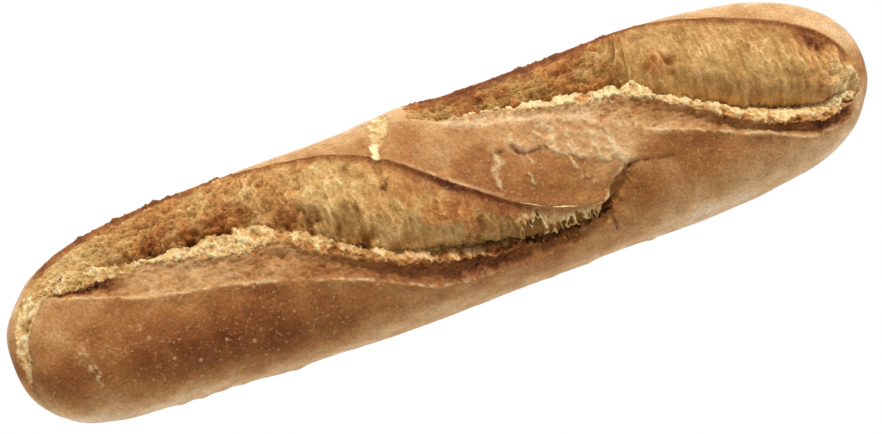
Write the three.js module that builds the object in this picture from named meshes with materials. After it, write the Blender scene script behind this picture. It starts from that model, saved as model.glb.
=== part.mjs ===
// A demi-baguette, lying on its flat base: one closed solid of bread, in millimetres, +Z up.
//
// The loaf runs along X. Every line on its skin is drawn as an angle against x: 0 degrees is the
// crest, positive angles go down the front (-Y) and negative ones down the back (+Y). Two slanting
// knife cuts have burst open in the oven. Going from front to back, a burst has a ridge where the
// front crust ends, a hollow browned ledge, a torn edge, a crevice, a bulge of risen crumb, and the
// edge of the crust behind. Cracks in the crust and at the left tip are shallow grooves.
import * as THREE from "three";

// Driving sizes.
const LENGTH = 272;
const WIDTH = 62;
const HEIGHT = 45;
const WIDEST_LEVEL = 0.46 * HEIGHT;

// How the section is shaped: squareness above and below the widest level, and how far the round
// underside would reach below the base if the oven deck had not flattened it.
const UPPER_SQUARENESS = 2.1;
const LOWER_SQUARENESS = 2.6;
const UNDERSIDE_REACH = 1.1;

// How the loaf closes towards its tips.
const TIP_POWER = 5.7;
const TIP_ROUNDNESS = 2.3;

// How much wider each side is than an even loaf: [x, millimetres]. It fades where less than
// SWELL_FADE of the section is left.
const SWELL_FADE = 0.4;
const FRONT_SWELL = [
  [-133, 2.3], [-124, 2.8], [-112, 1.6], [-98, -0.4], [-78, -1.5], [-60, 0], [-36, 0.6], [0, 0.4],
  [30, 0.6], [55, -0.5], [72, 0], [95, 0.6], [117, 1.2], [126, 0.7], [132, -0.6],
];
const BACK_SWELL = [
  [-133, -1], [-120, 0.4], [-85, -0.5], [-48, 0.4], [-24, 0], [-3, 1.4], [14, 0.2], [60, 0.1],
  [90, 0.9], [119, -0.4], [132, -1.3],
];

// Relief fades where less than this share of the section is left, so both tips close on one point.
const LEAST_SHARE = 0.3;

// The mesh: stations along the loaf, and columns round it in each band between two skin lines.
const STATIONS = 92;
const OUTLINE_SAMPLES = 4000;
const COLUMNS = {
  backToUnderside: 9,
  bulge: 8,
  torn: 2,
  ledge: 3,
  crustBetween: 3,
  frontToUnderside: 9,
};
const LEAST_GAP = 1.6; // degrees between neighbouring skin lines

// The front burst, which starts over the left tip and ends in a crack on the right. Each line is
// [x, angle], and each size is [x, millimetres].
const FRONT_BURST = {
  ridge: [
    [-136, -34], [-124, -30], [-115, -15], [-94, 3], [-71, 12], [-48, 23], [-26, 39], [-8, 57],
    [10, 61], [30, 62], [44, 56], [52, 50], [62, 46], [80, 50], [100, 64], [124, 80], [136, 84],
  ],
  torn: [
    [-136, -36], [-120, -26], [-107, -17], [-85, -12], [-67, -2], [-52, 0], [-38, 15], [-22, 32],
    [-11, 41], [10, 51], [31, 57], [41, 54.6], [50, 44], [56, 38], [70, 39], [90, 48],
    [110, 68], [136, 80],
  ],
  crevice: [
    [-136, -45], [-117, -36], [-94, -23], [-74, -19], [-60, -18], [-50, -8], [-36, 7],
    [-21, 25.5], [-13, 33], [-4, 39], [12, 48], [24, 54], [34, 55.5], [41, 53], [45, 48],
    [50, 38], [55, 28], [62, 27], [72, 32], [90, 42], [110, 62], [136, 76],
  ],
  back: [
    [-136, -60], [-118, -68], [-91, -70], [-66, -66], [-47, -53], [-30, -42], [-19, -30], [0, -2],
    [20, 24], [37, 37], [46, 40], [52, 30], [57, 21], [66, 20], [80, 31], [100, 50], [136, 72],
  ],
  creviceDepth: [
    [-112, 0], [-98, 2.8], [-75, 4.2], [-62, 3.2], [-54, 2.2], [-44, 4.8], [-20, 8], [10, 9.2],
    [26, 6], [42, 4.4], [48, 1.5], [54, 0],
  ],
  wallWidth: [[-120, 3], [-60, 4.5], [-40, 8], [-10, 12], [12, 10], [26, 5], [42, 4]],
  bulgeHeight: [
    [-118, 0], [-100, -1.2], [-75, -1.2], [-60, -0.3], [-48, 1.6], [-20, 2.8], [5, 2.6], [20, 1],
    [32, -1.4], [44, -1.4], [52, 0],
  ],
  tornHeight: [[-118, 0], [-108, 0.6], [-85, 1.2], [-60, 1.5], [-45, 0.8], [20, 0.5], [44, 0]],
  ledgeDepth: [
    [-122, 0], [-112, 0.9], [-90, 1.2], [-50, 1.1], [-20, 2.2], [10, 2.6], [35, 1.8], [47, 0],
  ],
  ridgeLip: [[-126, 0], [-118, 0.5], [-90, 0.9], [0, 1.1], [30, 0.4], [42, 0]],
  backLip: [
    [-126, 0], [-112, 0.6], [-60, 0.8], [-30, 1.1], [0, 0.9], [20, 0.8], [30, 1.6], [42, 1.6],
    [48, 0],
  ],
};

// The back burst, which runs from behind the middle over the right tip.
const BACK_BURST = {
  ridge: [
    [-136, -78], [-60, -76], [-20, -66], [-3, -50], [12, -28], [25, -19], [40, -10], [64, 11],
    [83, 25], [101, 42], [110, 54], [123, 62], [136, 66],
  ],
  torn: [
    [-136, -82], [-60, -80], [-20, -72], [0, -48], [8, -38], [20, -31], [36, -19], [52, -13],
    [65, -6], [80, 11], [88, 20], [98, 29.5], [107, 37], [118, 45.5], [126, 48], [136, 52],
  ],
  crevice: [
    [-136, -86], [-60, -84], [-20, -76], [2, -44], [14, -37], [35, -30], [56, -24], [64, -20],
    [70, -7.5], [76, -2.5], [86, 8], [93, 16], [103, 23.5], [112, 30.5], [119, 35], [126, 38],
    [136, 46],
  ],
  back: [
    [-136, -95], [-60, -92], [-20, -84], [-5, -74], [14, -70], [43, -71], [69, -69], [80, -58],
    [91, -45], [102, -36], [113, -27], [121, -18], [127, -4], [131, 12], [136, 20],
  ],
  creviceDepth: [
    [0, 0], [14, 3.4], [40, 5], [60, 4], [67, 1.6], [76, 6.4], [95, 8.6], [115, 8.6], [126, 5],
    [133, 0],
  ],
  wallWidth: [[0, 3], [60, 5], [68, 4], [80, 7], [100, 8.5], [118, 7], [130, 4]],
  bulgeHeight: [
    [-2, 0], [20, -1.2], [45, -1.2], [60, 0.3], [74, 2.4], [95, 3], [112, 2.8], [126, 1.2],
    [133, 0],
  ],
  tornHeight: [[2, 0], [12, 1], [40, 1.6], [62, 1.8], [75, 1], [110, 1], [128, 0]],
  ledgeDepth: [[0, 0], [50, 0.3], [66, 1], [80, 2], [105, 2.6], [118, 1.6], [129, 0]],
  ridgeLip: [[-4, 0], [30, 0.4], [60, 0.6], [80, 1], [112, 1.4], [124, 1], [132, 0]],
  backLip: [[-10, 0], [20, 0.6], [60, 0.8], [100, 1.2], [120, 1], [131, 0]],
};

// Widths of a burst's relief across it, in millimetres.
const LIP_WIDTH = 2.6;
const LIP_UNDERCUT = 0.9;
const CREVICE_FRONT_WIDTH = 1.5;
const CREVICE_STEEPNESS = 1.5; // over 1 rounds the bottom of the crevice towards its front
const HINGE_ROUNDING = 0.25; // how softly the wall behind a crevice turns into the bulge's top
const TORN_WIDTH = 1.8;
const LEDGE_SKEW = 0.7; // under 1 brings the ledge's hollow nearer to the torn edge
const BULGE_SKEW = 0.75; // under 1 brings the bulge's top nearer to the crevice
const BULGE_CLOSENESS = 1.4; // over 1 sets the bulge's columns closer towards the crevice

// Grooves: [x, angle, half-width] along each, and its depth. The first is the tear that carries
// the front burst round the left tip, and the others are cracks in the crust.
const GROOVES = [
  {
    depth: 1.5,
    path: [
      [-119, -44, 7], [-125, -38, 6], [-130, -22, 4.5], [-132.2, 4, 3.2], [-132.6, 35, 2.6],
      [-132.2, 62, 2], [-130.5, 84, 1.2], [-127, 100, 0.8],
    ],
  },
  { depth: 1.2, path: [[-10, -72, 3], [-11, -58, 3.2], [-12.5, -46, 2.8], [-14.5, -32, 1.5]] },
  {
    depth: 2.2,
    path: [
      [43.5, 50, 1.5], [46.5, 43, 1.9], [48, 38, 1.7], [50, 33, 1.6], [52, 29, 1.4], [54, 26, 1],
    ],
  },
  { depth: 0.9, path: [[53, 27, 1.2], [62, 27, 1], [70, 29, 0.8]] },
];

// Hollows in the torn crumb, below 0, and lumps on it: [x, angle, radius, height].
const LUMPS = [
  [-87.7, -27, 2.6, -2.2], [-74.9, -23, 2.8, -2.4], [-66, -22.5, 3.2, -2.6], [-60, -26, 2.6, -1.6],
  [-46.9, -6, 2.2, -2], [-38.4, -3, 2.2, -2], [-26.3, 14.5, 2.2, -1.8], [-17.2, 24.5, 2.2, -1.8],
  [-8, 34, 2.2, -1.6], [-42, -14, 4, 1.2], [-30, -4, 3.4, 0.9], [-21, 8, 3.4, 0.9],
  [72.2, -28, 2, 1.8], [72.8, -20, 2.4, 3.2], [72.2, -12, 1.8, 2], [-61, -36, 4, 1.2],
  [-79, -34, 4, 1], [-36, -18, 4, 1], [127, 20, 2, 0.8], [128.5, 32, 2, 0.7],
];

// The smooth swelling of crust over the end of the front burst.
const DOME = { x: 28, angle: 16, halfLength: 30, halfAngle: 16, height: 1.4 };

// Slow unevenness of a hand-rolled loaf, and the crags of torn crumb: wavelength and height.
const ROLLING = { wavelength: 74, height: 0.45 };
const CRAGS = { wavelength: 9, height: 0.45 };
const CRAGGY_DEPTH = 2; // the crevice depth, in millimetres, from which the crumb is fully craggy
const WAVE_REACH = 1.5; // how high three crossing waves rise together

// Where a groove is measured along each stretch of its path, as shares of the stretch.
const GROOVE_STEPS = [0, 0.25, 0.5, 0.75, 1];

const radians = THREE.MathUtils.degToRad;
const clamp = THREE.MathUtils.clamp;
const bell = (distance, width) => Math.exp(-((distance / width) ** 2));
const power = (base, exponent) => Math.sign(base) * Math.abs(base) ** exponent;

// A smooth line through points that never swings past them, flat beyond its ends.
function lineThrough(points) {
  const steps = points.slice(1).map(([x, y], i) => (y - points[i][1]) / (x - points[i][0]));
  const slopes = points.map((_, i) => {
    const before = steps[i - 1] ?? 0;
    const after = steps[i] ?? 0;
    return before * after > 0 ? (2 * before * after) / (before + after) : 0;
  });
  return (x) => {
    if (x <= points[0][0]) return points[0][1];
    const i = points.findIndex((point) => point[0] > x) - 1;
    if (i < 0) return points.at(-1)[1];
    const [x0, y0] = points[i];
    const [x1, y1] = points[i + 1];
    const span = x1 - x0;
    const t = (x - x0) / span;
    const u = 1 - t;
    return (
      y0 * (1 + 2 * t) * u * u +
      y1 * t * t * (3 - 2 * t) +
      span * (slopes[i] * t * u * u - slopes[i + 1] * t * t * u)
    );
  };
}

const linesOf = (burst) =>
  Object.fromEntries(Object.entries(burst).map(([name, points]) => [name, lineThrough(points)]));
const frontBurst = linesOf(FRONT_BURST);
const backBurst = linesOf(BACK_BURST);

// Share of the full section that is left at x: 1 over most of the loaf, 0 at its tips.
const taper = (x) =>
  (1 - Math.min(Math.abs(x) / (LENGTH / 2), 1) ** TIP_POWER) ** (1 / TIP_ROUNDNESS);

const frontSwell = lineThrough(FRONT_SWELL);
const backSwell = lineThrough(BACK_SWELL);

// The smooth loaf before it bursts: the point on its skin at x and angle, and the way out from it.
function smoothLoaf(x, angle) {
  const share = taper(x);
  const sine = Math.sin(radians(angle));
  const swell = (sine > 0 ? frontSwell(x) : backSwell(x)) * clamp(share / SWELL_FADE, 0, 1);
  const cosine = Math.cos(radians(angle));
  const above = cosine >= 0;
  const squareness = above ? UPPER_SQUARENESS : LOWER_SQUARENESS;
  const halfWidth = WIDTH / 2;
  const halfHeight = above ? HEIGHT - WIDEST_LEVEL : WIDEST_LEVEL * UNDERSIDE_REACH;
  const across = -power(sine, 2 / squareness);
  const upward = power(cosine, 2 / squareness);
  const point = new THREE.Vector3(
    x,
    (halfWidth * share + swell) * across,
    WIDEST_LEVEL + halfHeight * share * upward,
  );
  const along = (TIP_POWER / (LENGTH / 2)) * power((2 * x) / LENGTH, TIP_POWER - 1);
  const inward = TIP_ROUNDNESS * share ** (TIP_ROUNDNESS - 1);
  const outward = new THREE.Vector3(
    along,
    (inward * power(across, squareness - 1)) / halfWidth,
    (inward * power(upward, squareness - 1)) / halfHeight,
  ).normalize();
  return { point, outward, share };
}

// Falls evenly from 1 to 0 as run goes from 0 to 1, and stays 0 past it, with the corner rounded.
function hinge(run) {
  const left = 1 - run;
  if (Math.abs(left) >= HINGE_ROUNDING) return Math.max(left, 0);
  return (left + HINGE_ROUNDING) ** 2 / (4 * HINGE_ROUNDING);
}

// Relief of one burst at x and angle. widthPerDegree turns an angle into millimetres of skin.
function burstRelief(lines, x, angle, widthPerDegree) {
  const ridge = lines.ridge(x);
  const torn = lines.torn(x);
  const crevice = lines.crevice(x);
  const back = lines.back(x);
  const from = (line) => (angle - line) * widthPerDegree;

  const pastRidge = from(ridge);
  let height = lines.ridgeLip(x) * bell(pastRidge, pastRidge > 0 ? LIP_WIDTH : LIP_UNDERCUT);
  const pastBack = from(back);
  height += lines.backLip(x) * bell(pastBack, pastBack < 0 ? LIP_WIDTH : LIP_UNDERCUT);
  height += lines.tornHeight(x) * bell(from(torn), TORN_WIDTH);

  const pastCrevice = from(crevice);
  const creviceShare =
    pastCrevice > 0
      ? Math.exp(-((pastCrevice / CREVICE_FRONT_WIDTH) ** CREVICE_STEEPNESS))
      : hinge(-pastCrevice / lines.wallWidth(x));
  height -= lines.creviceDepth(x) * creviceShare;

  const ledgeShare = clamp((angle - torn) / Math.max(ridge - torn, LEAST_GAP), 0, 1);
  height -= lines.ledgeDepth(x) * Math.sin(Math.PI * ledgeShare ** LEDGE_SKEW);
  const bulgeShare = clamp((crevice - angle) / Math.max(crevice - back, LEAST_GAP), 0, 1);
  height += lines.bulgeHeight(x) * Math.sin(Math.PI * bulgeShare ** BULGE_SKEW);
  return height;
}

// Nearest distance from a point to a groove's path, as a share of its half-width there.
const groovePaths = GROOVES.map(({ path, depth }) => ({
  depth,
  spots: path.slice(1).flatMap(([x, angle, width], i) => {
    const [x0, angle0, width0] = path[i];
    return GROOVE_STEPS.map((t) => ({
      at: smoothLoaf(x0 + (x - x0) * t, angle0 + (angle - angle0) * t).point,
      width: width0 + (width - width0) * t,
    }));
  }),
}));

function grooveRelief(point) {
  return groovePaths.reduce((height, { depth, spots }) => {
    const nearest = Math.min(...spots.map(({ at, width }) => at.distanceTo(point) / width));
    return height - depth * bell(nearest, 1);
  }, 0);
}

const lumps = LUMPS.map(([x, angle, radius, height]) => ({
  at: smoothLoaf(x, angle).point,
  radius,
  height,
}));

function lumpRelief(point) {
  return lumps.reduce((sum, { at, radius, height }) => {
    return sum + height * bell(at.distanceTo(point), radius);
  }, 0);
}

// Waves that cross in three directions, between -1 and 1 for most points.
function waves(point, wavelength) {
  const [x, y, z] = point.toArray().map((value) => (2 * Math.PI * value) / wavelength);
  const sum = Math.sin(x) * Math.cos(y) + Math.sin(y) * Math.cos(z) + Math.sin(z) * Math.cos(x);
  return sum / WAVE_REACH;
}

// How open a burst is at x and angle: 1 on torn crumb, 0 on crust.
function openness(lines, x, angle) {
  const depth = clamp(lines.creviceDepth(x) / CRAGGY_DEPTH, 0, 1);
  const inside = angle < lines.ridge(x) && angle > lines.back(x);
  return inside ? depth : 0;
}

// The finished skin at x and angle.
function skin(x, angle) {
  const { point, outward, share } = smoothLoaf(x, angle);
  const widthPerDegree = radians(1) * (WIDTH / 2) * Math.max(share, LEAST_SHARE);
  const dome =
    DOME.height * bell(x - DOME.x, DOME.halfLength) * bell(angle - DOME.angle, DOME.halfAngle);
  const open = Math.max(openness(frontBurst, x, angle), openness(backBurst, x, angle));
  const height =
    burstRelief(frontBurst, x, angle, widthPerDegree) +
    burstRelief(backBurst, x, angle, widthPerDegree) +
    grooveRelief(point) +
    lumpRelief(point) +
    dome +
    ROLLING.height * waves(point, ROLLING.wavelength) +
    open * CRAGS.height * waves(point, CRAGS.wavelength);
  point.addScaledVector(outward, height * clamp(share / LEAST_SHARE, 0, 1));
  point.z = Math.max(point.z, 0);
  return point;
}

// Values of x from +LENGTH / 2 to -LENGTH / 2, evenly spaced along the loaf's outline from above.
function stationPositions(count) {
  const outline = Array.from({ length: OUTLINE_SAMPLES + 1 }, (_, i) => {
    const turn = -Math.PI / 2 + (Math.PI * i) / OUTLINE_SAMPLES;
    const x = (-LENGTH / 2) * power(Math.sin(turn), 2 / TIP_POWER);
    return new THREE.Vector2(x, (WIDTH / 2) * taper(x));
  });
  const reached = [0];
  for (let i = 1; i <= OUTLINE_SAMPLES; i++) {
    reached.push(reached[i - 1] + outline[i].distanceTo(outline[i - 1]));
  }
  return Array.from({ length: count + 1 }, (_, i) => {
    const wanted = (reached.at(-1) * i) / count;
    const after = clamp(reached.findIndex((length) => length >= wanted), 1, OUTLINE_SAMPLES);
    const t = (wanted - reached[after - 1]) / (reached[after] - reached[after - 1]);
    return THREE.MathUtils.lerp(outline[after - 1].x, outline[after].x, t);
  });
}

// Angles of the columns at x, from the underside's middle round the back, crest and front to it.
// A column stays on its skin line all along the loaf, so that each edge of a burst is crisp.
function columnAngles(x) {
  const bands = [
    [backBurst.back(x), COLUMNS.backToUnderside],
    [backBurst.crevice(x), COLUMNS.bulge, BULGE_CLOSENESS],
    [backBurst.torn(x), COLUMNS.torn],
    [backBurst.ridge(x), COLUMNS.ledge],
    [frontBurst.back(x), COLUMNS.crustBetween],
    [frontBurst.crevice(x), COLUMNS.bulge, BULGE_CLOSENESS],
    [frontBurst.torn(x), COLUMNS.torn],
    [frontBurst.ridge(x), COLUMNS.ledge],
    [180, COLUMNS.frontToUnderside],
  ];
  const angles = [-180];
  let start = -180;
  for (const [line, columns, closeness = 1] of bands) {
    const end = Math.max(line, start + LEAST_GAP * columns);
    for (let i = 1; i <= columns; i++) {
      angles.push(end - (end - start) * (1 - i / columns) ** closeness);
    }
    start = end;
  }
  return angles;
}

// A sphere's mesh whose rows become stations and whose columns follow the skin lines.
function loafGeometry() {
  const columns = columnAngles(0).length - 1;
  const geometry = new THREE.SphereGeometry(1, columns, STATIONS);
  const position = geometry.getAttribute("position");
  stationPositions(STATIONS).forEach((x, row) => {
    columnAngles(x).forEach((angle, column) => {
      const { x: px, y: py, z: pz } = skin(x, angle);
      position.setXYZ(row * (columns + 1) + column, px, py, pz);
    });
  });
  geometry.computeBoundingBox();
  const middle = geometry.boundingBox.getCenter(new THREE.Vector3());
  geometry.translate(-middle.x, -middle.y, -geometry.boundingBox.min.z);
  geometry.computeVertexNormals();
  return geometry;
}

const bread = new THREE.MeshStandardMaterial({ color: 0xb9793f, roughness: 0.75, metalness: 0 });
const baguette = new THREE.Mesh(loafGeometry(), bread);
baguette.name = "baguette";

const loaf = new THREE.Group();
loaf.add(baguette);

export default loaf;
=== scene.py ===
"""A demi-baguette on a pale floor: its crust, burst slashes and crumb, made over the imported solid.

The loaf runs along X. A place on its skin is a station x in millimetres and an angle in degrees:
0 is the crest, positive angles go down the front (-Y) and negative ones down the back (+Y).
"""
from types import SimpleNamespace

import bpy
import numpy as np
from mathutils import Matrix, Vector, noise


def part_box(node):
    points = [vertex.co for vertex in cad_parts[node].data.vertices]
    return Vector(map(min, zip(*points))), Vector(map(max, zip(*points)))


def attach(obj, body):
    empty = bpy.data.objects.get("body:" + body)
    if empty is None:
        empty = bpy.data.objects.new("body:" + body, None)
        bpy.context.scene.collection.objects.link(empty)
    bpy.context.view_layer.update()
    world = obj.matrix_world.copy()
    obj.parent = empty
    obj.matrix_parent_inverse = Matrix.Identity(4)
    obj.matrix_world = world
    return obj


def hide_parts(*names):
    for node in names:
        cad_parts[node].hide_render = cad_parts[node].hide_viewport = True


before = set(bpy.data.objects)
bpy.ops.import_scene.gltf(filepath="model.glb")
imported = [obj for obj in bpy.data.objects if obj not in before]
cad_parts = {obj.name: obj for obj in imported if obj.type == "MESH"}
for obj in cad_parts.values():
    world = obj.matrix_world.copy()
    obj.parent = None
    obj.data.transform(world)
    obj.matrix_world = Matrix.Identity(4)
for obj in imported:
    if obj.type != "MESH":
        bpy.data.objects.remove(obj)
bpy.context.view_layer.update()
MM = 0.001

# Driving sizes of the loaf, in millimetres, as the solid has them.
LENGTH = 272
WIDTH = 62
HEIGHT = 45
WIDEST_LEVEL = 0.46 * HEIGHT
UPPER_SQUARENESS = 2.1
LOWER_SQUARENESS = 2.6
UNDERSIDE_REACH = 1.1
TIP_POWER = 5.7
TIP_ROUNDNESS = 2.3
# How much wider each side is than an even loaf: [x, millimetres].
FRONT_SWELL = [
    [-133, 2.3], [-124, 2.8], [-112, 1.6], [-98, -0.4], [-78, -1.5], [-60, 0], [-36, 0.6], [0, 0.4],
    [30, 0.6], [55, -0.5], [72, 0], [95, 0.6], [117, 1.2], [126, 0.7], [132, -0.6],
]
BACK_SWELL = [
    [-133, -1], [-120, 0.4], [-85, -0.5], [-48, 0.4], [-24, 0], [-3, 1.4], [14, 0.2], [60, 0.1],
    [90, 0.9], [119, -0.4], [132, -1.3],
]

# Meshes: how many stations lie along the whole loaf, and how many columns go round or across.
CRUST_STATIONS = 620
CRUST_COLUMNS = 150
CRUMB_STATIONS = 1250
CRUMB_COLUMNS = 112

# The front burst. Skin lines are [x, angle], sizes are [x, millimetres], shares and tones 0 to 1.
FRONT_BURST = {
    "ridge": [
        [-136, -34], [-124, -30], [-115, -15], [-94, 3], [-71, 12], [-48, 23], [-26, 39], [-8, 57],
        [10, 61], [30, 62], [44, 56], [52, 50], [62, 46], [80, 50], [100, 64], [124, 80], [136, 84],
    ],
    "torn": [
        [-136, -36], [-120, -26], [-107, -17], [-85, -12], [-67, -2], [-52, 0], [-38, 14], [-22, 30],
        [-11, 39.2], [10, 50.2], [31, 57], [41, 54.6], [50, 44], [56, 38], [70, 39], [90, 48],
        [110, 68], [136, 80],
    ],
    "crevice": [
        [-136, -45], [-117, -36], [-94, -23], [-74, -19], [-60, -18], [-50, -8], [-36, 6.5],
        [-21, 24], [-13, 31.5], [-4, 37.8], [12, 47.4], [24, 54], [34, 55.5], [41, 53], [45, 48],
        [50, 38], [55, 28], [62, 27], [72, 32], [90, 42], [110, 62], [136, 76],
    ],
    "back": [
        [-136, -60], [-118, -68], [-91, -70], [-66, -66], [-47, -53], [-30, -42], [-19, -30], [0, -2],
        [20, 24], [37, 37], [46, 40], [52, 30], [57, 21], [66, 20], [80, 31], [100, 50], [136, 72],
    ],
    "crevice_depth": [
        [-112, 0], [-98, 2.5], [-75, 4], [-62, 3], [-54, 2], [-44, 4.5], [-20, 7], [6, 7.5],
        [18, 5], [30, 3], [42, 2.6], [48, 1.5], [54, 0],
    ],
    "slot_depth": [
        [-112, 0], [-98, 0.8], [-56, 0.6], [-40, 0.5], [-8, 0.6], [2, 1.2], [18, 1.3], [30, 0.8],
        [44, 0.6], [50, 0],
    ],
    "wall_width": [[-120, 3], [-60, 4.5], [-40, 8], [-10, 12], [12, 10], [26, 5], [42, 4]],
    "bulge_height": [
        [-118, 0], [-100, -1.2], [-75, -1.2], [-60, -0.3], [-48, 1.6], [-20, 2.8], [5, 2.6], [20, 1],
        [32, -1.4], [44, -1.4], [52, 0],
    ],
    "torn_height": [[-118, 0], [-108, 0.5], [-94, 0.4], [-60, 0.5], [-45, 0.2], [20, 0.1], [44, 0]],
    "bridged": [[-112, 0], [-98, 0.5], [-60, 0.5], [-48, 0.7], [-26, 0.7], [-14, 0.35], [0, 0.1], [44, 0]],
    "ledge_depth": [
        [-122, 0], [-112, 0.9], [-102, 1], [-92, 0.4], [-60, 0.5], [-44, 1.1], [-20, 2.2], [10, 2.6],
        [35, 1.8], [47, 0],
    ],
    "ridge_lip": [[-126, 0], [-118, 0.5], [-90, 0.9], [0, 1.1], [30, 0.4], [42, 0]],
    "back_lip": [
        [-126, 0], [-112, 0.6], [-60, 0.8], [-30, 1.1], [0, 0.9], [20, 0.8], [30, 1.6], [42, 1.6], [48, 0],
    ],
    "torn_share": [[-126, 0], [-118, 1], [44, 1], [48, 0]],
    "ledge_share": [[-124, 0], [-114, 1], [42, 1], [47, 0]],
    "skin_share": [
        [-125, 0.3], [-100, 0.16], [-80, 0.06], [-55, -0.1], [-30, -0.1], [-14, 0.1], [4, 0.24],
        [14, 0.3], [19, 0.16], [24, 0.04], [30, 0],
    ],
    "skin_bake": [
        [-125, 0.6], [-90, 0.6], [-60, 0.54], [-30, 0.42], [-10, 0.46], [8, 0.58], [20, 0.6], [40, 0.5],
    ],
    # Bake just under the torn lip: the ledge's own dark crust, deepened by painted shade where the lip hangs
    # over it.
    "dark_ledge_and_shade": [
        [-122, 0.6], [-112, 0.86], [-104, 0.8], [-96, 0.4], [-75, 0.34], [-64, 0.42], [-54, 0.44],
        [-44, 0.46], [-34, 0.56], [-20, 0.62], [10, 0.7], [30, 0.54], [45, 0.5],
    ],
    "light_ledge": [
        [-122, 0.46], [-100, 0.4], [-70, 0.35], [-56, 0.42], [-42, 0.56], [-30, 0.62], [-14, 0.6],
        [5, 0.68], [40, 0.5],
    ],
    "edge_tone": [
        [-118, 0.6], [-100, 0.68], [-60, 0.73], [-40, 0.76], [0, 0.74], [14, 0.56], [22, 0.36], [46, 0.3],
    ],
    "low_tone": [
        [-118, 0.6], [-98, 0.52], [-60, 0.56], [-40, 0.58], [-26, 0.6], [-10, 0.68], [0, 0.56], [16, 0.46],
        [24, 0.5], [44, 0.5],
    ],
    "high_tone": [
        [-118, 0.6], [-95, 0.56], [-60, 0.62], [-40, 0.62], [-28, 0.56], [-15, 0.52], [0, 0.46], [16, 0.46],
        [24, 0.8], [44, 0.78],
    ],
    "toast": [
        [-118, 0], [-104, 0.5], [-92, 0.75], [-62, 0.75], [-50, 0.55], [-36, 0.5], [-20, 0.3], [-8, 0.7],
        [2, 1], [14, 1], [20, 0.2], [44, 0],
    ],
    "rough": [[-118, 0.6], [-100, 0.9], [-45, 0.9], [-20, 0.7], [10, 0.7], [28, 0.4], [44, 0.4]],
    "craggy": [[-118, 0.3], [-98, 0.9], [-50, 1], [-30, 0.5], [0, 0.4], [18, 0.3], [24, 0]],
    "edge_toast": [[-118, 0], [-62, 0.05], [-44, 0.35], [-20, 0.4], [4, 0.45], [14, 0.8], [22, 1], [46, 1]],
    "stretch": [[-118, 0.6], [-60, 0.8], [-45, 1.4], [-25, 2.4], [44, 3]],
    "flour": [[-124, 0.3], [-110, 0.6], [-20, 0.8], [0, 0.6], [15, 0.2], [30, 0]],
    "flour_width": [[-124, 0.5], [40, 0.5]],
    "line_width": [[-120, 0.9], [-70, 0.8], [-40, 0.5], [-12, 0.5], [10, 0.7], [44, 0.6]],
    "gloss": [[-50, 0], [-20, 0.4], [40, 0.4], [50, 0]],
}

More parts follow.
